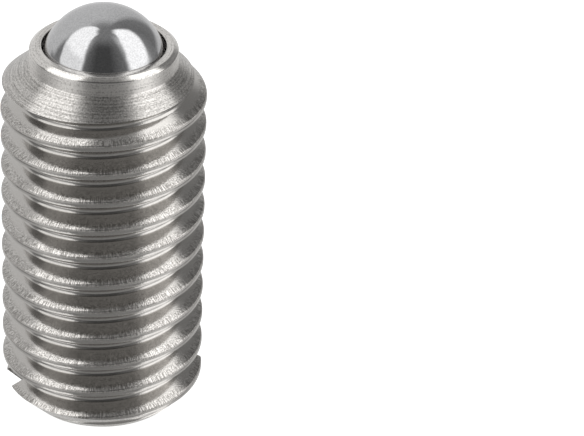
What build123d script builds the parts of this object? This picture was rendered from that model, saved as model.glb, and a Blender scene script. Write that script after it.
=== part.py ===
"""M10 ball spring plunger with a slotted end: threaded sleeve, compression spring, ball.

Units are millimetres.  +Z points from the slotted end to the ball, and the origin is the
middle of the flat slotted end.  The screwdriver slot runs along X.
"""

import os
from math import pi, radians, sin, sqrt, tan

from build123d import *

# --- thread: M10 x 1.5, right-hand, tolerance class 6g -----------------------------------
PITCH = 1.5
CREST_R = 4.90             # half the major diameter, inside the limits 9.732 to 9.968
PITCH_R = 4.45             # half the pitch diameter, inside the limits 8.862 to 8.994
ROOT_R = 4.05              # half the diameter at the bottom of the groove
FLANK = tan(radians(30))   # a flank leans 30 degrees from the plane across the axis
CREST_Z = 0.08             # height of the lowest crest where it passes over +X
CUTTER_RELIEF = 0.12       # how far the threading tool stands out of the work

# --- turned outline ----------------------------------------------------------------------
BODY_LENGTH = 19.1         # to the flat ring round the mouth
END_FACE_R = 3.69          # flat slotted face, inside its 45 degree chamfer
NECK_R = 3.53              # plain neck below the lip
NECK_HEIGHT = 0.90         # from the foot of the neck to the ring
CONE_RISE = tan(radians(40))     # the cone between thread and neck
RING_R = 3.30              # outside of the flat ring
LIP_FALL = tan(radians(38))      # the lip, pressed down from the ring to the neck
LIP_ROUND = 0.12           # where the lip turns into the neck

# --- screwdriver slot --------------------------------------------------------------------
SLOT_WIDTH = 1.6
SLOT_DEPTH = 1.9

# --- ball and bore -----------------------------------------------------------------------
BALL_R = 3.0
PROJECTION = 1.9           # of the ball past the ring, which is also its stroke
BORE_R = 3.05
MOUTH_R = 2.95             # the mouth is rolled in over the ball once it is fitted
MOUTH_HEIGHT = 0.42
MOUTH_LEAD = 0.40          # over which the bore closes in to the mouth
DRILL_POINT = tan(radians(118 / 2))

# --- spring: stainless wire, ends closed and ground flat -----------------------------------
WIRE_D = 0.7
WIRE_SIDES = 8             # the round wire is drawn with this many sides, to keep its faces few
COIL_R = 2.45              # to the middle of the wire
FITTED_LENGTH = 7.2
CLOSED_COILS = 0.9         # at each end
ACTIVE_COILS = 3.5
CLOSED_PITCH = WIRE_D + 0.03
SEAT_GAP = 0.02            # running clearance between the spring's end and the ball

# --- heights that follow from the sizes above ----------------------------------------------
BALL_Z = BODY_LENGTH + PROJECTION - BALL_R
NECK_Z = BODY_LENGTH - NECK_HEIGHT
LIP_Z = BODY_LENGTH - (NECK_R - RING_R) * LIP_FALL
THREAD_END_Z = NECK_Z - (CREST_R - NECK_R) * CONE_RISE
SPRING_TOP_Z = BALL_Z - sqrt(BALL_R**2 - (COIL_R - WIRE_D / 2) ** 2) - SEAT_GAP
SHOULDER_Z = SPRING_TOP_Z - FITTED_LENGTH


def turned_blank():
    """The plain outline: chamfered end, thread diameter, cone, neck and pressed-down lip."""
    outline = Polyline(
        (0, 0),
        (END_FACE_R, 0),
        (CREST_R, CREST_R - END_FACE_R),
        (CREST_R, THREAD_END_Z),
        (NECK_R, NECK_Z),
        (NECK_R, LIP_Z),
        (RING_R, BODY_LENGTH),
        (0, BODY_LENGTH),
        close=True,
    )
    blank = revolve(Plane.XZ * make_face(outline), Axis.Z)
    lip_edge = blank.edges().filter_by(GeomType.CIRCLE).sort_by(Axis.Z)[-2]
    return fillet(lip_edge, LIP_ROUND)


def groove_turn(height):
    """One turn of the 60 degree thread groove, starting over +X at the given height."""
    outside_r = CREST_R + CUTTER_RELIEF
    root_half = PITCH / 4 - (PITCH_R - ROOT_R) * FLANK
    mouth_half = PITCH / 4 + (outside_r - PITCH_R) * FLANK
    section = Polyline(
        (ROOT_R, height - root_half),
        (ROOT_R, height + root_half),
        (outside_r, height + mouth_half),
        (outside_r, height - mouth_half),
        close=True,
    )
    path = Helix(PITCH, PITCH, CREST_R, center=(0, 0, height))
    return sweep(Plane.XZ * make_face(section), path=path, is_frenet=True)


def bore():
    """The blind bore: drill point, spring shoulder, ball bore and rolled-in mouth."""
    mouth_z = BODY_LENGTH - MOUTH_HEIGHT
    outline = Polyline(
        (0, SHOULDER_Z - BORE_R / DRILL_POINT),
        (BORE_R, SHOULDER_Z),
        (BORE_R, mouth_z - MOUTH_LEAD),
        (MOUTH_R, mouth_z),
        (MOUTH_R, BODY_LENGTH + 1),
        (0, BODY_LENGTH + 1),
        close=True,
    )
    return revolve(Plane.XZ * make_face(outline), Axis.Z)


def threaded_sleeve():
    """The sleeve: thread cut turn by turn from end to end, then bored and slotted."""
    sleeve = turned_blank()
    first = CREST_Z + PITCH / 2 - 2 * PITCH
    while first < NECK_Z:
        sleeve = sleeve - groove_turn(first)
        first = first + PITCH
    slot = Box(4 * CREST_R, SLOT_WIDTH, 2 * SLOT_DEPTH)
    return sleeve - bore() - slot


def compression_spring():
    """The spring at its fitted length, wound right-hand with closed and ground ends.

    Its wire has the area of the round wire, so the spring has its true weight.
    """
    rise = CLOSED_COILS * CLOSED_PITCH
    active_pitch = (FITTED_LENGTH - 2 * rise) / ACTIVE_COILS
    winds = [
        (CLOSED_COILS, CLOSED_PITCH),
        (ACTIVE_COILS, active_pitch),
        (CLOSED_COILS, CLOSED_PITCH),
    ]
    height = SHOULDER_Z
    turned = 0.0
    wires = []
    for coils, pitch in winds:
        helix = Helix(pitch, coils * pitch, COIL_R, center=(0, 0, height))
        wires.append(Rot(0, 0, 360 * turned) * helix)
        height = height + coils * pitch
        turned = turned + coils
    path = Wire(wires)
    corner_r = WIRE_D / 2 * sqrt(2 * pi / (WIRE_SIDES * sin(2 * pi / WIRE_SIDES)))
    wire = RegularPolygon(corner_r, WIRE_SIDES, rotation=180 / WIRE_SIDES)
    section = Plane(path @ 0, z_dir=path % 0) * wire
    coil = sweep(section, path=path, is_frenet=True, transition=Transition.TRANSFORMED)
    length_box = Box(4 * COIL_R, 4 * COIL_R, FITTED_LENGTH)
    return coil & (Pos(0, 0, SHOULDER_Z + FITTED_LENGTH / 2) * length_box)


def ball():
    """The polished ball, held in the mouth by the spring."""
    return Pos(0, 0, BALL_Z) * Sphere(BALL_R)


def main():
    """Build each piece and write it as a STEP file of its own."""
    os.makedirs("parts", exist_ok=True)
    pieces = {
        "threaded_sleeve": threaded_sleeve(),
        "compression_spring": compression_spring(),
        "ball": ball(),
    }
    for name, solid in pieces.items():
        solid.label = name
        export_step(solid, f"parts/{name}.step")
        box = solid.bounding_box()
        print(f"{name}: {solid.volume:.2f} mm3, z {box.min.Z:.3f} to {box.max.Z:.3f}")


main()
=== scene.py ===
"""Looks of the slotted ball spring plunger: fine surfaces, metal finishes, studio and camera."""

import logging
import math
from dataclasses import dataclass, field
from enum import Enum
from typing import Any, Callable, Sequence

import bpy
from mathutils import Matrix, Vector


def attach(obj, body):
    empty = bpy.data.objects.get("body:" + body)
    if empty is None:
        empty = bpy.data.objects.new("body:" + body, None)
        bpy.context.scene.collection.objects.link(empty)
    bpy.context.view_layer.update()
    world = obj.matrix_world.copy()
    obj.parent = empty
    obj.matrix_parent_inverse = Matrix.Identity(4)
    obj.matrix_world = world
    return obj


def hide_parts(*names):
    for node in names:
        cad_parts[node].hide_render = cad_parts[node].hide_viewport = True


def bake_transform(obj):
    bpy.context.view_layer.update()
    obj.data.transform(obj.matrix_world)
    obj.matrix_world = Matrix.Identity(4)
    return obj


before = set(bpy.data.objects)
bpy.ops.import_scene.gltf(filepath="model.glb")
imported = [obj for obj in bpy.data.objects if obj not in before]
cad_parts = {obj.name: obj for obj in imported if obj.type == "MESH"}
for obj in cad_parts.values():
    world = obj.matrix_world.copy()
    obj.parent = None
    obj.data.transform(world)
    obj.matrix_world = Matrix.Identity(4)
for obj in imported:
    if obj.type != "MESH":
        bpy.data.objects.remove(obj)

LOG = logging.getLogger("spring_plunger")
METRES_PER_MM = 0.001
MM_PER_UM = 0.001
FULL_TURN = 2 * math.pi
FULL_CIRCLE = 360  # degrees
MERGE_GAP_MM = 0.001
PLAIN_AREA_WEIGHT = 50  # at this setting, faces weigh on a smooth normal by their area alone

Point = tuple[float, float]
Band = tuple[float, float, float, float]
Colour = tuple[float, float, float, float]
Socket = bpy.types.NodeSocket
Term = float | Socket


class Body(Enum):
    """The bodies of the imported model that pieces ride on."""

    SLEEVE = "sleeve"
    SPRING = "spring"
    BALL = "ball"


class Cut(Enum):
    """What a boolean keeps of a piece."""

    INSIDE_TOOL = "INTERSECT"
    OUTSIDE_TOOL = "DIFFERENCE"


# --- shared modelling steps ------------------------------------------------------------------


def hex_to_linear(code: str) -> Colour:
    """Turns an sRGB hex colour into a linear one.

    Args:
        code: six hex digits.

    Returns:
        Linear red, green, blue and an alpha of one.
    """
    channels = [int(code[i : i + 2], 16) / 255 for i in (0, 2, 4)]
    linear = [c / 12.92 if c <= 0.04045 else ((c + 0.055) / 1.055) ** 2.4 for c in channels]
    return (linear[0], linear[1], linear[2], 1.0)


def grey(value: float) -> Colour:
    """A neutral linear colour."""
    return (value, value, value, 1.0)


def rounded_path(corners: Sequence[tuple[float, float, float]], steps: int) -> list[Point]:
    """Rounds the corners of an open outline with arcs.

    Args:
        corners: radius, height and corner rounding of each point, in millimetres.
        steps: straight pieces in each arc.

    Returns:
        Points of the outline in order, as radius and height.
    """
    path: list[Point] = []
    for index, (r, z, rounding) in enumerate(corners):
        here = Vector((r, z))
        if rounding == 0 or index in (0, len(corners) - 1):
            path.append((r, z))
            continue
        back = (Vector(corners[index - 1][:2]) - here).normalized()
        ahead = (Vector(corners[index + 1][:2]) - here).normalized()
        half_opening = back.angle(ahead) / 2
        centre = here + (back + ahead).normalized() * rounding / math.sin(half_opening)
        first = here + back * rounding / math.tan(half_opening) - centre
        last = here + ahead * rounding / math.tan(half_opening) - centre
        sweep = first.angle_signed(last)
        for step in range(steps + 1):
            turned = Matrix.Rotation(-sweep * step / steps, 2) @ first
            path.append(tuple(centre + turned))
    return path


def select_only(piece: bpy.types.Object) -> None:
    """Makes one object the only selected one, and the active one.

    Args:
        piece: the object to select.
    """
    bpy.ops.object.select_all(action="DESELECT")
    piece.select_set(True)
    bpy.context.view_layer.objects.active = piece


def select_edges(piece: bpy.types.Object, wanted: Callable[[Vector, Vector], bool]) -> None:
    """Enters edit mode with only the wanted edges selected.

    Args:
        piece: mesh object to edit.
        wanted: says from an edge's two end points whether it is selected.
    """
    select_only(piece)
    bpy.ops.object.mode_set(mode="EDIT")
    bpy.ops.mesh.select_mode(type="EDGE")
    bpy.ops.mesh.select_all(action="DESELECT")
    bpy.ops.object.mode_set(mode="OBJECT")
    points = piece.data.vertices
    for edge in piece.data.edges:
        edge.select = wanted(points[edge.vertices[0]].co, points[edge.vertices[1]].co)
    bpy.ops.object.mode_set(mode="EDIT")


def apply_modifier(piece: bpy.types.Object, kind: str, **settings: Any) -> None:
    """Adds a modifier with its settings and applies it at once.

    Args:
        piece: mesh object to change.
        kind: Blender's identifier of the modifier type.
        **settings: the modifier's properties by name.
    """
    select_only(piece)
    bpy.ops.object.modifier_add(type=kind)
    modifier = piece.modifiers[-1]
    for name, value in settings.items():
        setattr(modifier, name, value)
    bpy.ops.object.modifier_apply(modifier=modifier.name)


def draw_half_section(name: str, path: Sequence[Point]) -> bpy.types.Object:
    """Draws an outline in the half-plane over +X by extruding one vertex from point to point.

    Args:
        name: name of the new object.
        path: points as radius and height, in millimetres.

    Returns:
        A mesh object that has only edges.
    """
    bpy.ops.object.select_all(action="DESELECT")
    bpy.ops.mesh.primitive_plane_add(size=1.0)
    outline = bpy.context.object
    outline.name = name
    bpy.ops.object.mode_set(mode="EDIT")
    bpy.ops.mesh.select_mode(type="VERT")
    bpy.ops.mesh.select_all(action="SELECT")
    bpy.ops.mesh.merge(type="CENTER")
    bpy.ops.transform.translate(value=(path[0][0], 0, path[0][1]))
    for here, ahead in zip(path, path[1:]):
        step = (ahead[0] - here[0], 0, ahead[1] - here[1])
        bpy.ops.mesh.extrude_vertices_move(TRANSFORM_OT_translate={"value": step})
    bpy.ops.object.mode_set(mode="OBJECT")
    return outline


def clean_mesh(piece: bpy.types.Object, gap: float = MERGE_GAP_MM) -> None:
    """Merges doubles and turns every face outwards.

    Args:
        piece: mesh object to clean.
        gap: distance in millimetres up to which vertices are merged.
    """
    select_only(piece)
    bpy.ops.object.mode_set(mode="EDIT")
    bpy.ops.mesh.select_mode(type="VERT")
    bpy.ops.mesh.select_all(action="SELECT")
    bpy.ops.mesh.remove_doubles(threshold=gap)
    bpy.ops.mesh.dissolve_degenerate(threshold=gap)
    bpy.ops.mesh.normals_make_consistent(inside=False)
    bpy.ops.object.mode_set(mode="OBJECT")


def cut_with(piece: bpy.types.Object, tool: bpy.types.Object, cut: Cut) -> None:
    """Cuts a piece with a tool and removes the tool.

    Args:
        piece: closed mesh object to cut.
        tool: closed mesh object to cut it with.
        cut: which side of the tool is kept.
    """
    apply_modifier(piece, "BOOLEAN", operation=cut.value, solver="EXACT", object=tool)
    bpy.data.objects.remove(tool)


def finish_mesh(piece: bpy.types.Object, sharp_over: float) -> None:
    """Brings a piece from millimetres to metres and shades it.

    Args:
        piece: mesh object modelled in millimetres round the frame's origin.
        sharp_over: angle in degrees past which an edge stays crisp.
    """
    select_only(piece)
    piece.scale = (METRES_PER_MM,) * 3
    bpy.ops.object.transform_apply(location=True, rotation=True, scale=True)
    bpy.ops.object.shade_smooth_by_angle(angle=math.radians(sharp_over))
    apply_modifier(piece, "WEIGHTED_NORMAL", keep_sharp=True, weight=PLAIN_AREA_WEIGHT)


def add_node(
    tree: bpy.types.NodeTree,
    kind: str,
    inputs: dict[str | int, Any] | None = None,
    stops: Sequence[tuple[float, Colour]] = (),
    **settings: Any,
) -> bpy.types.Node:
    """Adds one shader node.

    Args:
        tree: node tree that receives the node.
        kind: Blender's identifier of the node type.
        inputs: a plain value or another node's output for each input, by its name or place.
        stops: positions and colours of a colour ramp.
        **settings: the node's properties by name.

    Returns:
        The new node.
    """
    node = tree.nodes.new(kind)
    for name, value in settings.items():
        setattr(node, name, value)
    for place, source in (inputs or {}).items():
        if isinstance(source, Socket):
            tree.links.new(source, node.inputs[place])
        else:
            node.inputs[place].default_value = source
    if stops:
        elements = node.color_ramp.elements
        while len(elements) < len(stops):
            elements.new(0.5)
        for element, (position, colour) in zip(elements, stops):
            element.position = position
            element.color = colour
    return node


def soft_step(tree: bpy.types.NodeTree, value: Socket, start: float, end: float) -> Socket:
    """A soft rise from zero at start to one at end."""
    return add_node(
        tree,
        "ShaderNodeMapRange",
        {"Value": value, "From Min": start, "From Max": end},
        interpolation_type="SMOOTHSTEP",
    ).outputs[0]


# --- sizes shared by the sleeve, the spring and the ball ----------------------------------------


@dataclass(frozen=True)
class ThreadForm:
    """The M10 x 1.5 right-hand thread, in millimetres."""

    pitch: float = 1.5
    crest_radius: float = 4.90
    pitch_radius: float = 4.45
    root_radius: float = 4.05
    flank_lean: float = math.radians(30)
    crest_height: float = 0.08
    crest_top_rounding: float = 0.20
    crest_under_rounding: float = 0.04
    root_rounding: float = 0.22
    arc_steps: int = 4
    steps_per_turn: int = 180

    def one_pitch(self, bottom: float) -> list[Point]:
        """The groove's outline from the flat of one crest to the flat of the next.

        Args:
            bottom: height of the lower crest's middle.

        Returns:
            Points as radius and height.
        """
        lean = math.tan(self.flank_lean)
        groove = bottom + self.pitch / 2
        crest_half = self.pitch / 4 - (self.crest_radius - self.pitch_radius) * lean
        root_half = self.pitch / 4 - (self.pitch_radius - self.root_radius) * lean
        flat = bottom - crest_half + self.crest_under_rounding
        corners = [
            (self.crest_radius, flat, 0.0),
            (self.crest_radius, bottom + crest_half, self.crest_top_rounding),
            (self.root_radius, groove - root_half, self.root_rounding),
            (self.root_radius, groove + root_half, self.root_rounding),
            (self.crest_radius, bottom + self.pitch - crest_half, self.crest_under_rounding),
            (self.crest_radius, flat + self.pitch, 0.0),
        ]
        return rounded_path(corners, self.arc_steps)


@dataclass
class ThreadedSleeve:
    """The turned, threaded, bored and slotted sleeve, sizes in millimetres."""

    threaded: bpy.types.Material
    turned: bpy.types.Material
    thread: ThreadForm = field(default_factory=ThreadForm)
    length: float = 19.1
    end_face_radius: float = 3.69
    neck_radius: float = 3.53
    neck_foot: float = 18.20
    cone_angle: float = math.radians(40)
    ring_radius: float = 3.30
    lip_angle: float = math.radians(38)
    lip_rounding: float = 0.10
    neck_rounding: float = 0.05
    edge_rounding: float = 0.04
    cone_edge_rounding: float = 0.07
    mouth_radius: float = 2.95
    mouth_rounding: float = 0.03
    mouth_foot: float = 18.68
    bore_radius: float = 3.05
    bore_top: float = 18.28
    shoulder: float = 8.6376
    drill_angle: float = math.radians(118 / 2)
    slot_width: float = 1.6
    slot_depth: float = 1.9
    slot_corner: float = 0.10
    margin: float = 0.3
    skin: float = 0.002
    cut_gap: float = 0.0005
    face_slack: float = 0.02
    sharp_over: float = 28

    def build(self) -> bpy.types.Object:
        """Models the sleeve and puts it in place of the plain one.

        Returns:
            The finished mesh object.
        """
        outline = self.turned_outline()
        cut_with(outline, self.slot_saw(), Cut.OUTSIDE_TOOL)
        sleeve = self.threaded_bar()
        cut_with(sleeve, outline, Cut.INSIDE_TOOL)
        clean_mesh(sleeve, self.cut_gap)
        finish_mesh(sleeve, self.sharp_over)
        self.dress(sleeve)
        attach(sleeve, Body.SLEEVE.value)
        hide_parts("threaded_sleeve")
        return sleeve

    def dress(self, sleeve: bpy.types.Object) -> None:
        """Gives the turned faces and the thread their own finishes.

        Args:
            sleeve: the finished mesh object.
        """
        sleeve.data.materials.append(self.threaded)
        sleeve.data.materials.append(self.turned)
        slack = self.face_slack
        slope = math.tan(self.cone_angle)
        cone_level = self.neck_foot + self.neck_radius * slope - slack
        for face in sleeve.data.polygons:
            centre = face.center / METRES_PER_MM
            radius = centre.xy.length
            on_head = centre.z + radius * slope > cone_level and radius > self.mouth_radius - slack
            on_end = centre.z < max(radius - self.end_face_radius, 0.0) + slack
            face.material_index = int(on_head or on_end)

    def threaded_bar(self) -> bpy.types.Object:
        """Winds a threaded bar that is longer than the sleeve at both ends.

        Returns:
            The closed bar.
        """
        form = self.thread
        turns_below = 2
        turns = math.ceil(self.length / form.pitch) + 2 * turns_below
        bottom = form.crest_height - turns_below * form.pitch
        bar = draw_half_section("turned_sleeve", form.one_pitch(bottom))
        apply_modifier(
            bar,
            "SCREW",
            steps=form.steps_per_turn,
            render_steps=form.steps_per_turn,
            iterations=turns,
            screw_offset=form.pitch,
        )
        clean_mesh(bar)
        for height in (bottom, bottom + (turns + 1) * form.pitch):
            self.close_bar_end(bar, height)
        clean_mesh(bar)
        return bar

    def close_bar_end(self, bar: bpy.types.Object, height: float) -> None:
        """Closes one open end of the bar with a fan to its axis.

        Args:
            bar: the open threaded bar.
            height: height of the fan's point on the axis.
        """
        select_only(bar)
        bpy.ops.object.mode_set(mode="EDIT")
        bpy.ops.mesh.select_mode(type="VERT")
        bpy.ops.mesh.select_all(action="DESELECT")
        bpy.ops.mesh.select_non_manifold(extend=False)
        bpy.ops.object.mode_set(mode="OBJECT")
        kept = [
            v.index
            for v in bar.data.vertices
            if v.select and abs(v.co.z - height) < 2 * self.thread.pitch
        ]
        bpy.ops.object.mode_set(mode="EDIT")
        bpy.ops.mesh.select_all(action="DESELECT")
        bpy.ops.object.mode_set(mode="OBJECT")
        for index in kept:
            bar.data.vertices[index].select = True
        bpy.ops.object.mode_set(mode="EDIT")
        bpy.ops.mesh.extrude_region_move()
        bpy.ops.mesh.merge(type="CENTER")
        bpy.ops.object.mode_set(mode="OBJECT")
        tip = next(v for v in bar.data.vertices if v.select)
        tip.co = (0.0, 0.0, height)

    def turned_outline(self) -> bpy.types.Object:
        """Turns the outline of the sleeve, outside and bore, from radius and height.

        Returns:
            The plain sleeve without thread and slot, as a closed solid.
        """
        outside = self.thread.crest_radius + self.skin
        cone_foot = self.neck_foot - (outside - self.neck_radius) * math.tan(self.cone_angle)
        lip_foot = self.length - (self.neck_radius - self.ring_radius) * math.tan(self.lip_angle)
        drill_tip = self.shoulder - self.bore_radius / math.tan(self.drill_angle)
        corners = [
            (0.0, 0.0, 0.0),
            (self.end_face_radius, 0.0, self.edge_rounding),
            (outside, outside - self.end_face_radius, self.edge_rounding),
            (outside, cone_foot, self.cone_edge_rounding),
            (self.neck_radius, self.neck_foot, self.neck_rounding),
            (self.neck_radius, lip_foot, self.lip_rounding),
            (self.ring_radius, self.length, self.edge_rounding),
            (self.mouth_radius, self.length, self.mouth_rounding),
            (self.mouth_radius, self.mouth_foot, 0.0),
            (self.bore_radius, self.bore_top, 0.0),
            (self.bore_radius, self.shoulder, 0.0),
            (0.0, drill_tip, 0.0),
        ]
        path = rounded_path(corners, self.thread.arc_steps)
        outline = draw_half_section("turned_outline", path)
        steps = 2 * self.thread.steps_per_turn
        apply_modifier(outline, "SCREW", steps=steps, render_steps=steps)
        clean_mesh(outline)
        return outline

    def is_slot_floor_edge(self, start: Vector, end: Vector) -> bool:
        """Whether a saw edge runs along a corner of the slot's floor."""
        at_floor = min(start.z, end.z) > self.slot_depth - self.margin / 2
        return at_floor and abs(start.x - end.x) > self.slot_width

    def slot_saw(self) -> bpy.types.Object:
        """Shapes the saw that cuts the screwdriver slot across the flat end.

        Returns:
            The saw, with rounded corners at the slot's floor.
        """
        length = 2 * (self.thread.crest_radius + self.margin)
        height = self.slot_depth + self.margin
        bpy.ops.object.select_all(action="DESELECT")
        bpy.ops.mesh.primitive_cube_add(size=1.0, location=(0, 0, self.slot_depth - height / 2))
        saw = bpy.context.object
        saw.scale = (length, self.slot_width, height)
        bpy.ops.object.transform_apply(location=True, rotation=True, scale=True)
        select_edges(saw, self.is_slot_floor_edge)
        bpy.ops.mesh.bevel(offset=self.slot_corner, segments=self.thread.arc_steps)
        bpy.ops.object.mode_set(mode="OBJECT")
        return saw


@dataclass
class Ball:
    """The polished ball, sizes in millimetres."""

    material: bpy.types.Material
    radius: float = 3.0
    height: float = 18.0
    cuts: int = 35
    sharp_over: float = 60

    def build(self) -> bpy.types.Object:
        """Models the ball from a cube whose even grid is cast onto the sphere.

        Returns:
            The finished mesh object.
        """
        bpy.ops.object.select_all(action="DESELECT")
        bpy.ops.mesh.primitive_cube_add(size=2 * self.radius)
        ball = bpy.context.object
        ball.name = "bearing_ball"
        bpy.ops.object.mode_set(mode="EDIT")
        bpy.ops.mesh.select_all(action="SELECT")
        bpy.ops.mesh.subdivide(number_cuts=self.cuts)
        bpy.ops.object.mode_set(mode="OBJECT")
        apply_modifier(ball, "CAST", factor=1.0, size=self.radius, use_radius_as_size=False)
        ball.location.z = self.height * METRES_PER_MM
        finish_mesh(ball, self.sharp_over)
        ball.data.materials.append(self.material)
        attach(ball, Body.BALL.value)
        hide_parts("ball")
        return ball


@dataclass
class CompressionSpring:
    """The wound spring with closed and ground ends, sizes in millimetres."""

    material: bpy.types.Material
    wire_radius: float = 0.35
    coil_radius: float = 2.45
    foot: float = 8.6376
    length: float = 7.2
    closed_coils: float = 0.9
    active_coils: float = 3.5
    closed_pitch: float = 0.73
    steps_per_turn: int = 72
    wire_resolution: int = 5
    ground_gap: float = 0.0001
    sharp_over: float = 40

    def build(self) -> bpy.types.Object:
        """Winds the spring and grinds its ends.

        Returns:
            The finished mesh object.
        """
        spring = self.wound_wire()
        for height, outwards in ((self.foot, -1), (self.foot + self.length, 1)):
            self.grind_end(spring, height, outwards)
        finish_mesh(spring, self.sharp_over)
        spring.data.materials.append(self.material)
        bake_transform(spring)
        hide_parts("compression_spring")
        return spring

    def on_coil(self, turns: float, height: float) -> Vector:
        """The middle of the wire at a number of turns and a height."""
        x, y = math.cos(FULL_TURN * turns), math.sin(FULL_TURN * turns)
        return Vector((self.coil_radius * x, self.coil_radius * y, height))

    def wound_wire(self) -> bpy.types.Object:
        """Winds the wire along its helix, with close turns at both ends.

        Returns:
            The wire as a mesh object, with its ends not yet ground.
        """
        rise = self.closed_coils * self.closed_pitch
        active_pitch = (self.length - 2 * rise) / self.active_coils
        winds = (
            (self.closed_coils, self.closed_pitch),
            (self.active_coils, active_pitch),
            (self.closed_coils, self.closed_pitch),
        )
        turned = 0.0
        height = self.foot
        line: list[Vector] = []
        for coils, pitch in winds:
            steps = round(coils * self.steps_per_turn)
            for step in range(steps):
                turn = coils * step / steps
                line.append(self.on_coil(turned + turn, height + turn * pitch))
            turned += coils
            height += coils * pitch
        line.append(self.on_coil(turned, height))
        curve = bpy.data.curves.new("spring_wire", "CURVE")
        curve.dimensions = "3D"
        curve.bevel_depth = self.wire_radius
        curve.bevel_resolution = self.wire_resolution
        curve.use_fill_caps = True
        spline = curve.splines.new("POLY")
        spline.points.add(len(line) - 1)
        for point, place in zip(spline.points, line):
            point.co = (*place, 1.0)
        wire = bpy.data.objects.new("wound_spring", curve)
        bpy.context.scene.collection.objects.link(wire)
        select_only(wire)
        bpy.ops.object.convert(target="MESH")
        return bpy.context.object

    def grind_end(self, spring: bpy.types.Object, height: float, outwards: int) -> None:
        """Grinds one end flat.

        Args:
            spring: the wound wire as a mesh.
            height: height of the ground face.
            outwards: 1 for the upper end, -1 for the lower.
        """
        select_only(spring)
        bpy.ops.object.mode_set(mode="EDIT")
        bpy.ops.mesh.select_all(action="SELECT")
        bpy.ops.mesh.bisect(
            plane_co=(0, 0, height),
            plane_no=(0, 0, outwards),
            use_fill=True,
            clear_outer=True,
            threshold=self.ground_gap,
        )
        bpy.ops.object.mode_set(mode="OBJECT")


# --- finishes ------------------------------------------------------------------------------------


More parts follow.
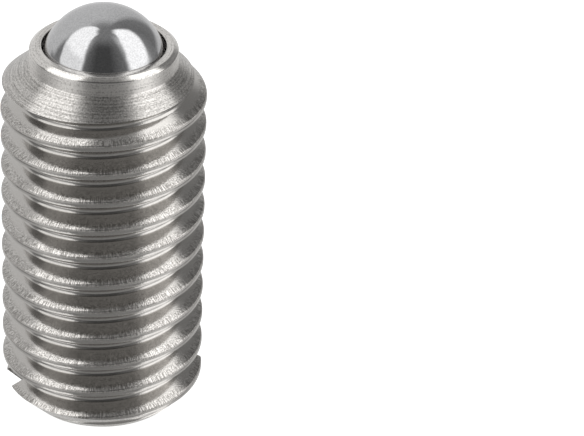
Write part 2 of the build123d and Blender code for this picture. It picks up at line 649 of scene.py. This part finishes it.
class Shading:
    """A new metal's node tree, with the measures and patterns that the finishes share."""

    noise_detail = 2.0
    noise_spread = (0.3, 0.7)  # noise rarely leaves this part of zero to one

    def __init__(self, name: str) -> None:
        """Starts an empty material and measures places on the part in millimetres.

        Args:
            name: the finish's name.
        """
        self.material = bpy.data.materials.new(name)
        self.material.use_nodes = True
        self.tree = self.material.node_tree
        self.tree.nodes.clear()
        place = add_node(self.tree, "ShaderNodeTexCoord").outputs["Object"]
        self.millimetres = add_node(
            self.tree,
            "ShaderNodeVectorMath",
            {0: place, "Scale": 1 / METRES_PER_MM},
            operation="SCALE",
        ).outputs[0]
        axes = add_node(self.tree, "ShaderNodeSeparateXYZ", {0: self.millimetres}).outputs
        self.height = axes["Z"]
        self.turn = add_node(
            self.tree, "ShaderNodeMath", {0: axes["Y"], 1: axes["X"]}, operation="ARCTAN2"
        ).outputs[0]
        level = add_node(
            self.tree,
            "ShaderNodeVectorMath",
            {0: self.millimetres, 1: (1, 1, 0)},
            operation="MULTIPLY",
        ).outputs[0]
        self.radius = add_node(
            self.tree, "ShaderNodeVectorMath", {0: level}, operation="LENGTH"
        ).outputs["Value"]

    def ramp(self, value: Socket, start: float, end: float) -> Socket:
        """A soft rise from zero at start to one at end."""
        return soft_step(self.tree, value, start, end)

    def band(self, value: Socket, edges: Band) -> Socket:
        """A soft band: zero, rising between the first two edges, falling between the last two."""
        ends = {0: self.ramp(value, *edges[:2]), 1: self.ramp(value, *edges[2:])}
        return add_node(self.tree, "ShaderNodeMath", ends, operation="SUBTRACT").outputs[0]

    def between(self, low: Term, high: Term, share: Term) -> Socket:
        """A value between low and high by a share."""
        ends = {"Value": share, "To Min": low, "To Max": high}
        return add_node(self.tree, "ShaderNodeMapRange", ends).outputs[0]

    def noise(
        self, place: Socket, cells: tuple[float, float, float], roughness: float = 0.5
    ) -> Socket:
        """Noise that is stretched along the axes of a place.

        Args:
            place: vector that places the pattern.
            cells: cells of the noise to a unit along each axis.
            roughness: strength of the finer noise.

        Returns:
            The noise, from zero to one.
        """
        scaled = add_node(
            self.tree, "ShaderNodeVectorMath", {0: place, 1: cells}, operation="MULTIPLY"
        ).outputs[0]
        inputs = {"Scale": 1.0, "Detail": self.noise_detail, "Roughness": roughness}
        return add_node(
            self.tree, "ShaderNodeTexNoise", {"Vector": scaled, **inputs}
        ).outputs["Fac"]

    def grain(self, size: float) -> Socket:
        """Even noise whose cells are the given number of millimetres wide, from zero to one."""
        return self.noise(self.millimetres, (1 / size,) * 3)

    def tool_lines(self, spacing: float, drift: float, roughness: float = 0.5) -> Socket:
        """Lines that a tool leaves as the metal turns under it.

        Args:
            spacing: millimetres from line to line.
            drift: how many times a line changes within a radian.
            roughness: strength of the finer lines.

        Returns:
            The lines, from zero to one.
        """
        place = add_node(
            self.tree, "ShaderNodeCombineXYZ", {0: self.radius, 1: self.height, 2: self.turn}
        ).outputs[0]
        return self.noise(place, (1 / spacing, 1 / spacing, drift), roughness)

    def blend_colours(self, low: str, high: str, pattern: Socket) -> Socket:
        """Colours a noise pattern.

        Args:
            low: sRGB hex colour of its valleys.
            high: sRGB hex colour of its peaks.
            pattern: the noise, from zero to one.

        Returns:
            The colour.
        """
        colours = {"Color1": hex_to_linear(low), "Color2": hex_to_linear(high)}
        share = self.ramp(pattern, *self.noise_spread)
        return add_node(
            self.tree, "ShaderNodeMixRGB", {"Fac": share, **colours}
        ).outputs["Color"]

    def bumps(self, heights: Sequence[tuple[Socket, float]]) -> Socket:
        """Stacks bumps on the surface's normal.

        Args:
            heights: each pattern with its depth in micrometres.

        Returns:
            The bumped normal.
        """
        inputs: dict[str | int, Any] = {}
        for height, depth in heights:
            inputs["Height"] = height
            inputs["Distance"] = depth * MM_PER_UM * METRES_PER_MM
            inputs["Normal"] = add_node(self.tree, "ShaderNodeBump", inputs).outputs["Normal"]
        return inputs["Normal"]

    def metal(self, inputs: dict[str, Any]) -> bpy.types.Material:
        """Ends the material with a metal surface.

        Args:
            inputs: a plain value or another node's output for each of the shader's sockets.

        Returns:
            The finished material.
        """
        shader = add_node(self.tree, "ShaderNodeBsdfPrincipled", {"Metallic": 1.0, **inputs})
        add_node(self.tree, "ShaderNodeOutputMaterial", {"Surface": shader.outputs["BSDF"]})
        return self.material


@dataclass(frozen=True)
class TurnedStainless:
    """Stainless steel faced and coned on the lathe.

    The grooves of the tool run round the part, so reflections smear along the axis and stay
    crisp round it, and single deeper lines show.  The neck is duller and paler, and the lip is
    burnished by the roller that pressed it down, so it glints.  The real grooves are about
    0.02 mm apart and the real grain is finer still; both are drawn coarser, or neither would
    show at this size.
    """

    valley_colour: str = "8F8C88"
    ridge_colour: str = "F2EFEB"
    roughness: float = 0.28
    neck_roughness: float = 0.42
    neck_paleness: float = 0.11
    lip_roughness: float = 0.13
    neck_foot_mm: float = 18.20
    lip_foot_mm: float = 18.89
    foot_blend_mm: float = 0.03
    anisotropy: float = 0.8
    anisotropy_turns: float = 0.25
    line_spacing_mm: float = 0.055
    line_drift: float = 1.2
    line_roughness: float = 0.7
    line_depth_um: float = 3.0
    grain_mm: float = 0.075

    def above(self, shading: Shading, foot_mm: float) -> Socket:
        """Zero below a height on the part and one above it, with a short blend."""
        blend = self.foot_blend_mm
        return shading.ramp(shading.height, foot_mm - blend, foot_mm + blend)

    def material(self) -> bpy.types.Material:
        """Builds the material on Object coordinates.

        Returns:
            The finished material.
        """
        shading = Shading("turned_stainless_steel")
        lines = shading.tool_lines(self.line_spacing_mm, self.line_drift, self.line_roughness)
        texture = shading.between(lines, shading.grain(self.grain_mm), 0.5)
        on_neck = self.above(shading, self.neck_foot_mm)
        on_lip = self.above(shading, self.lip_foot_mm)
        texture = add_node(
            shading.tree,
            "ShaderNodeMath",
            {0: on_neck, 1: self.neck_paleness, 2: texture},
            operation="MULTIPLY_ADD",
        ).outputs[0]
        roughness = shading.between(self.roughness, self.neck_roughness, on_neck)
        tangent = add_node(shading.tree, "ShaderNodeTangent", direction_type="RADIAL", axis="Z")
        return shading.metal(
            {
                "Base Color": shading.blend_colours(self.valley_colour, self.ridge_colour, texture),
                "Roughness": shading.between(roughness, self.lip_roughness, on_lip),
                "Anisotropic": self.anisotropy,
                "Anisotropic Rotation": self.anisotropy_turns,
                "Normal": shading.bumps([(lines, self.line_depth_um)]),
                "Tangent": tangent.outputs["Tangent"],
            }
        )


@dataclass(frozen=True)
class ThreadedStainless:
    """Stainless steel with a single-point cut thread.

    The flanks are smooth and mirror the turn above them, the crest keeps the sheen of the
    turned bar, and the metal by the crest is torn into a pale speckled band with short
    streaks down the flank.  The real speckle and streaks are 0.01 to 0.03 mm wide, too fine to
    show at this size, so they are drawn 0.05 to 0.07 mm wide.

    Each band is given in pitches, counted upwards from the middle of a crest.
    """

    thread: ThreadForm = field(default_factory=ThreadForm)
    flank_roughness: float = 0.13
    crest_roughness: float = 0.06
    torn_roughness: float = 0.52
    crest_blend_mm: Point = (0.04, 0.02)
    torn_band: Band = (0.015, 0.045, 0.085, 0.10)
    streaked_band: Band = (0.03, 0.07, 0.15, 0.25)
    smooth_band: Band = (0.17, 0.27, 0.66, 0.74)
    smooth_flank: float = 0.92
    smooth_crest: float = 0.85
    streak_width_mm: float = 0.05
    streak_length_mm: float = 0.22
    streak_depth_um: float = 2.0
    streak_roughness: float = 0.6
    streak_spread: Point = (0.34, 0.70)
    streak_strength: Point = (0.05, 0.45)
    patch_mm: float = 0.9
    patch_spread: Point = (0.36, 0.56)
    pit_colour: str = "95928E"
    burnish_colour: str = "E4E1DD"
    smooth_colour: str = "CECBC7"
    grain_mm: float = 0.07
    grain_depth_um: float = 3.0

    def above_crest(self, shading: Shading) -> Socket:
        """Measures how far a place lies above the middle of the crest below it.

        Args:
            shading: the material that is being built.

        Returns:
            The rise in pitches, from zero to one.
        """
        pitch = self.thread.pitch
        pitches_up = add_node(
            shading.tree,
            "ShaderNodeMath",
            {0: shading.height, 1: 1 / pitch, 2: -self.thread.crest_height / pitch},
            operation="MULTIPLY_ADD",
        ).outputs[0]
        above_start = add_node(
            shading.tree,
            "ShaderNodeMath",
            {0: shading.turn, 1: -1 / FULL_TURN, 2: pitches_up},
            operation="MULTIPLY_ADD",
        ).outputs[0]
        return add_node(
            shading.tree, "ShaderNodeMath", {0: above_start}, operation="FRACT"
        ).outputs[0]

    def streaks(self, shading: Shading) -> Socket:
        """Short streaks that run down the flank, from zero to one."""
        cells = (self.thread.crest_radius / self.streak_width_mm, 1 / self.streak_length_mm, 0.0)
        axes = {0: shading.turn, 1: shading.height}
        place = add_node(shading.tree, "ShaderNodeCombineXYZ", axes).outputs[0]
        return shading.noise(place, cells, self.streak_roughness)

    def material(self) -> bpy.types.Material:
        """Builds the material on Object coordinates.

        Returns:
            The finished material.
        """
        shading = Shading("threaded_stainless_steel")
        rise = self.above_crest(shading)
        crest_edge = [self.thread.crest_radius - depth for depth in self.crest_blend_mm]
        on_crest = shading.ramp(shading.radius, *crest_edge)
        roughness = shading.between(self.flank_roughness, self.crest_roughness, on_crest)
        torn = shading.band(rise, self.torn_band)
        patches = shading.ramp(shading.grain(self.patch_mm), *self.patch_spread)
        strength = shading.between(*self.streak_strength, patches)
        streaked = shading.between(0.0, strength, shading.band(rise, self.streaked_band))
        streaks = self.streaks(shading)
        grain = shading.grain(self.grain_mm)
        texture = shading.between(grain, shading.ramp(streaks, *self.streak_spread), streaked)
        smooth_shares = {
            0: shading.between(0.0, self.smooth_flank, shading.band(rise, self.smooth_band)),
            1: shading.between(0.0, self.smooth_crest, on_crest),
        }
        smooth = add_node(shading.tree, "ShaderNodeMath", smooth_shares, operation="MAXIMUM")
        colour = add_node(
            shading.tree,
            "ShaderNodeMixRGB",
            {
                "Fac": smooth.outputs[0],
                "Color1": shading.blend_colours(self.pit_colour, self.burnish_colour, texture),
                "Color2": hex_to_linear(self.smooth_colour),
            },
        ).outputs["Color"]
        streak_height = shading.between(0.0, streaks, streaked)
        heights = [(grain, self.grain_depth_um), (streak_height, self.streak_depth_um)]
        return shading.metal(
            {
                "Base Color": colour,
                "Roughness": shading.between(roughness, self.torn_roughness, torn),
                "Normal": shading.bumps(heights),
            }
        )


@dataclass(frozen=True)
class DrawnSpringWire:
    """Stainless spring wire drawn through a die: a dull sheen with lines along the wire.

    The die's real lines are finer; they are drawn coarser, so that they show.
    """

    colour: str = "B4B1AC"
    roughness: float = 0.3
    line_spacing_mm: float = 0.04
    line_drift: float = 1.0
    line_depth_um: float = 1.5

    def material(self) -> bpy.types.Material:
        """Builds the material on Object coordinates.

        Returns:
            The finished material.
        """
        shading = Shading("spring_wire_steel")
        lines = shading.tool_lines(self.line_spacing_mm, self.line_drift)
        return shading.metal(
            {
                "Base Color": hex_to_linear(self.colour),
                "Roughness": self.roughness,
                "Normal": shading.bumps([(lines, self.line_depth_um)]),
            }
        )


@dataclass(frozen=True)
class PolishedBearingSteel:
    """Ground and lapped bearing steel: a mirror with a trace of haze and faint mottling.

    The real marks of lapping are far finer; the mottling is drawn coarser, so that it shows.
    """

    low_colour: str = "C4C4C5"
    high_colour: str = "D6D6D7"
    roughness: float = 0.06
    mottle_mm: float = 0.08

    def material(self) -> bpy.types.Material:
        """Builds the material on Object coordinates.

        Returns:
            The finished material.
        """
        shading = Shading("polished_ball_steel")
        mottle = shading.grain(self.mottle_mm)
        return shading.metal(
            {
                "Base Color": shading.blend_colours(self.low_colour, self.high_colour, mottle),
                "Roughness": self.roughness,
            }
        )


# --- studio --------------------------------------------------------------------------------------


def turn_share(azimuth: float) -> float:
    """An azimuth in degrees as a share of the full circle, with zero degrees at one half."""
    return 0.5 + azimuth / FULL_CIRCLE


def rise_share(elevation: float) -> float:
    """An elevation in degrees as a share of the half circle, with zero degrees at one half."""
    return 0.5 + elevation / (FULL_CIRCLE / 2)


@dataclass(frozen=True)
class Softbox:
    """One light panel or dark flag of the studio, far away compared with the plunger.

    Azimuths are in degrees from the camera's side, to the camera's right, and each side edge
    is a list of elevation and azimuth, from low to high.
    """

    left_edge: tuple[Point, ...]
    right_edge: tuple[Point, ...]
    low: float
    high: float
    radiance: float
    softness: float = 6.0


@dataclass
class Studio:
    """White floor, softboxes in a grey tent, and the camera.

    Lengths are in metres, but lens and sensor are in millimetres.  Angles of the surroundings
    are in degrees, and each entry of wall and table is an azimuth and its radiance.
    """

    camera_azimuth: float = math.radians(-11.1)
    camera_elevation: float = math.radians(30.28)
    camera_distance: float = 0.16896
    aim_height: float = 0.00971
    swing_right: float = math.radians(3.099)
    roll: float = math.radians(0.3)
    lens: float = 215.06
    sensor: float = 36.0
    clip: Point = (0.01, 10.0)
    floor_radius: float = 1.5
    floor_sides: int = 96
    floor_drop: float = 0.00002
    floor_shade: float = 0.6
    floor_roughness: float = 0.9
    floor_glow: float = 0.93
    softboxes: tuple[Softbox, ...] = (
        Softbox(
            left_edge=((15, -91), (30, -103), (50, -119), (75, -137)),
            right_edge=((30, -43), (50, -49), (75, -64)),
            low=8.0,
            high=79.0,
            radiance=1.42,
            softness=5.0,
        ),
        Softbox(
            left_edge=((5, -88), (20, -95), (30, -104)),
            right_edge=((0, -45), (30, -45)),
            low=2.0,
            high=31.0,
            radiance=1.08,
            softness=5.0,
        ),
        Softbox(
            left_edge=((30, 50), (50, 58), (62, 66), (74, 86)),
            right_edge=((5, 90), (20, 99), (35, 109), (50, 117)),
            low=4.0,
            high=75.0,
            radiance=1.5,
        ),
        Softbox(
            left_edge=((-60, -72), (0, -72)),
            right_edge=((-60, -35), (0, -35)),
            low=-75.0,
            high=-28.0,
            radiance=1.3,
            softness=4.0,
        ),
        Softbox(
            left_edge=((-60, 46), (0, 46)),
            right_edge=((-60, 78), (0, 82)),
            low=-75.0,
            high=-22.0,
            radiance=1.35,
            softness=4.0,
        ),
        Softbox(
            left_edge=((-20, -112), (0, -118)),
            right_edge=((-20, -76), (0, -84)),
            low=-22.0,
            high=1.0,
            radiance=0.17,
            softness=5.0,
        ),
        Softbox(
            left_edge=((-20, 80), (0, 88)),
            right_edge=((-20, 112), (0, 124)),
            low=-20.0,
            high=1.0,
            radiance=0.18,
            softness=5.0,
        ),
    )
    wall: tuple[Point, ...] = (
        (-180, 0.66),
        (-113, 0.66),
        (-104, 0.24),
        (-92, 0.24),
        (-85, 0.70),
        (-60, 0.70),
        (-36, 0.16),
        (-18, 0.075),
        (14, 0.075),
        (42, 0.20),
        (60, 0.80),
        (90, 0.80),
        (104, 0.30),
        (124, 0.20),
        (144, 0.24),
        (155, 0.58),
        (180, 0.66),
    )
    table: tuple[Point, ...] = (
        (-180, 0.75),
        (-140, 0.68),
        (-110, 0.52),
        (-85, 0.46),
        (-60, 0.50),
        (-34, 0.26),
        (0, 0.25),
        (38, 0.30),
        (60, 0.75),
        (85, 0.70),
        (105, 0.48),
        (130, 0.60),
        (180, 0.75),
    )
    zenith: float = 0.26
    horizon_blend: Point = (-6.0, 6.0)
    zenith_blend: Point = (55.0, 82.0)

    def towards(self, azimuth: float) -> Vector:
        """Level unit vector at an azimuth in degrees from the camera's side, to its right."""
        turn = self.camera_azimuth + math.radians(azimuth)
        return Vector((math.sin(turn), -math.cos(turn), 0.0))

    def build(self) -> None:
        """Sets up floor, lights, surroundings and camera."""
        self.lay_floor()
        self.hang_surroundings()
        self.place_camera()
        bpy.context.scene.view_settings.view_transform = "Standard"

    def lay_floor(self) -> None:
        """Lays the pale floor; it is hidden from glossy rays, which meet the table glow."""
        bpy.ops.object.select_all(action="DESELECT")
        bpy.ops.mesh.primitive_circle_add(
            vertices=self.floor_sides,
            radius=self.floor_radius,
            fill_type="NGON",
            location=(0, 0, -self.floor_drop),
        )
        floor = bpy.context.object
        floor.name = "studio_floor"
        floor.visible_glossy = False
        material = bpy.data.materials.new("white_acrylic_table")
        material.use_nodes = True
        tree = material.node_tree
        tree.nodes.clear()
        shader = add_node(
            tree,
            "ShaderNodeBsdfPrincipled",
            {
                "Base Color": grey(self.floor_shade),
                "Roughness": self.floor_roughness,
                "Specular IOR Level": 0.0,
                "Emission Color": grey(1.0),
                "Emission Strength": self.floor_glow,
            },
        )
        add_node(tree, "ShaderNodeOutputMaterial", {"Surface": shader.outputs["BSDF"]})
        floor.data.materials.append(material)

    def measure_direction(self, tree: bpy.types.NodeTree) -> tuple[Socket, Socket]:
        """Measures where a ray of the world points.

        Args:
            tree: the world's node tree.

        Returns:
            Azimuth as a share of the full circle and elevation as a share of the half circle,
            each with zero degrees at one half.
        """
        place = add_node(tree, "ShaderNodeTexCoord").outputs["Generated"]
        along = [
            add_node(
                tree, "ShaderNodeVectorMath", {0: place, 1: side}, operation="DOT_PRODUCT"
            ).outputs["Value"]
            for side in (self.towards(90), self.towards(0))
        ]
        turn = add_node(tree, "ShaderNodeMath", {0: along[0], 1: along[1]}, operation="ARCTAN2")
        height = add_node(tree, "ShaderNodeSeparateXYZ", {0: place}).outputs["Z"]
        rise = add_node(tree, "ShaderNodeMath", {0: height}, operation="ARCSINE")
        azimuth, elevation = (
            add_node(
                tree,
                "ShaderNodeMapRange",
                {"Value": angle.outputs[0], "From Min": -limit, "From Max": limit},
            ).outputs[0]
            for angle, limit in ((turn, FULL_TURN / 2), (rise, FULL_TURN / 4))
        )
        return azimuth, elevation

    def hang_surroundings(self) -> None:
        """Paints the grey tent round the plunger: dark behind the camera, pale behind the part."""
        world = bpy.data.worlds.new("grey_tent")
        bpy.context.scene.world = world
        world.use_nodes = True
        tree = world.node_tree
        tree.nodes.clear()
        azimuth, elevation = self.measure_direction(tree)
        table, wall = (
            add_node(
                tree,
                "ShaderNodeValToRGB",
                {"Fac": azimuth},
                [(turn_share(turn), grey(level)) for turn, level in levels],
            ).outputs["Color"]
            for levels in (self.table, self.wall)
        )
        above_table, at_zenith = (
            soft_step(tree, elevation, *map(rise_share, limits))
            for limits in (self.horizon_blend, self.zenith_blend)
        )
        layers = [(above_table, wall), (at_zenith, grey(self.zenith))]
        for softbox in self.softboxes:
            inside = self.outline_softbox(tree, softbox, azimuth, elevation)
            layers.append((inside, grey(softbox.radiance)))
        tent = table
        for share, colour in layers:
            tent = add_node(
                tree, "ShaderNodeMixRGB", {"Fac": share, "Color1": tent, "Color2": colour}
            ).outputs["Color"]
        background = add_node(tree, "ShaderNodeBackground", {"Color": tent})
        add_node(tree, "ShaderNodeOutputWorld", {"Surface": background.outputs["Background"]})

    def outline_softbox(
        self, tree: bpy.types.NodeTree, softbox: Softbox, azimuth: Socket, elevation: Socket
    ) -> Socket:
        """Measures how far a direction lies inside a softbox.

        Args:
            tree: the world's node tree.
            softbox: the panel's place.
            azimuth: azimuth as a share of the full circle.
            elevation: elevation as a share of the half circle.

        Returns:
            One inside the panel and zero outside, with soft edges.
        """
        soft = softbox.softness
        past_low, past_high = (
            soft_step(tree, elevation, rise_share(edge - soft), rise_share(edge + soft))
            for edge in (softbox.low, softbox.high)
        )
        inside = add_node(
            tree, "ShaderNodeMath", {0: past_low, 1: past_high}, operation="SUBTRACT"
        ).outputs[0]
        for edge, sign in ((softbox.left_edge, 1), (softbox.right_edge, -1)):
            line = add_node(
                tree,
                "ShaderNodeValToRGB",
                {"Fac": elevation},
                [(rise_share(rise), grey(turn_share(turn))) for rise, turn in edge],
            ).outputs["Color"]
            beyond = add_node(
                tree, "ShaderNodeMath", {0: azimuth, 1: line}, operation="SUBTRACT"
            ).outputs[0]
            blend = sign * soft / FULL_CIRCLE
            within = soft_step(tree, beyond, -blend, blend)
            inside = add_node(
                tree, "ShaderNodeMath", {0: inside, 1: within}, operation="MULTIPLY"
            ).outputs[0]
        return inside

    def place_camera(self) -> None:
        """Places the camera and swings it so that the plunger stands left of the middle."""
        aim = Vector((0, 0, self.aim_height))
        outwards = self.towards(0) * math.cos(self.camera_elevation)
        outwards.z = math.sin(self.camera_elevation)
        bpy.ops.object.camera_add(location=aim + outwards * self.camera_distance)
        camera = bpy.context.object
        facing = outwards.to_track_quat("Z", "Y").to_matrix()
        swing = Matrix.Rotation(-self.swing_right, 3, "Y")
        roll = Matrix.Rotation(self.roll, 3, "Z")
        camera.rotation_euler = (facing @ swing @ roll).to_euler()
        camera.data.sensor_width = self.sensor
        camera.data.lens = self.lens
        camera.data.clip_start, camera.data.clip_end = self.clip
        bpy.context.scene.camera = camera


def main() -> None:
    """Builds every piece, then the studio."""
    logging.basicConfig(level=logging.INFO, format="%(name)s: %(message)s")
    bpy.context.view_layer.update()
    pieces = [
        ThreadedSleeve(ThreadedStainless().material(), TurnedStainless().material()).build(),
        Ball(PolishedBearingSteel().material()).build(),
        CompressionSpring(DrawnSpringWire().material()).build(),
    ]
    for piece in pieces:
        faces = piece.data.polygons
        triangles = sum(len(face.vertices) - 2 for face in faces)
        LOG.info("%s: %d faces, %d triangles", piece.name, len(faces), triangles)
    Studio().build()


if __name__ == "__main__":
    main()
